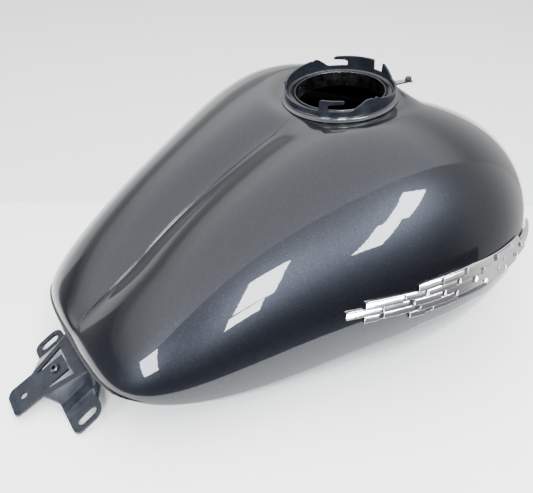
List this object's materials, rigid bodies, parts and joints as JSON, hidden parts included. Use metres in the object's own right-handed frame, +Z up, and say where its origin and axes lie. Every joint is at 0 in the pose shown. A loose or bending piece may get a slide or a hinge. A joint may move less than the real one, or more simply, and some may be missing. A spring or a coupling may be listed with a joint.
{
  "type": "motorcycle fuel tank",
  "caption": "Two-lobed welded steel motorcycle fuel tank with an open pump mouth and lock retainer on top, a frame tunnel beneath, a slotted rear bracket and plain side trim.",
  "frame": {"origin": "middle of the bounding box in plan, on the surface that the tank's floor stands on", "axes": "+X to the front of the motorcycle, +Y to the rider's left, +Z up"},
  "size_m": [0.5938, 0.4144, 0.2275],
  "materials": {
    "paint": "charcoal metallic paint under a gloss clear coat",
    "black_coat": "black dip coat, satin",
    "plain_steel": "plain sheet or turned steel",
    "seat_steel": "coated seal seat, dull grey",
    "rubber": "black rubber",
    "chrome": "bright plated trim",
    "foam_pad": "black adhesive foam"
  },
  "bodies": {
    "root": {"left_shell": "paint", "right_shell": "paint", "floor_pan": "paint", "tail_seam_flange": "black_coat", "rear_bracket": "black_coat", "bracket_weld_nut": "plain_steel", "seal_seat": "seat_steel", "neck_stiffener": "plain_steel", "lock_retainer": "black_coat", "locating_tab": "plain_steel", "tab_bumper": "rubber", "vent_tube": "plain_steel", "left_crossover_spigot": "plain_steel", "right_crossover_spigot": "plain_steel", "left_baffle": "plain_steel", "right_baffle": "plain_steel", "left_front_ear": "black_coat", "right_front_ear": "black_coat", "left_emblem": "chrome", "right_emblem": "chrome", "left_emblem_pad": "foam_pad", "right_emblem_pad": "foam_pad"}
  },
  "joints": []
}
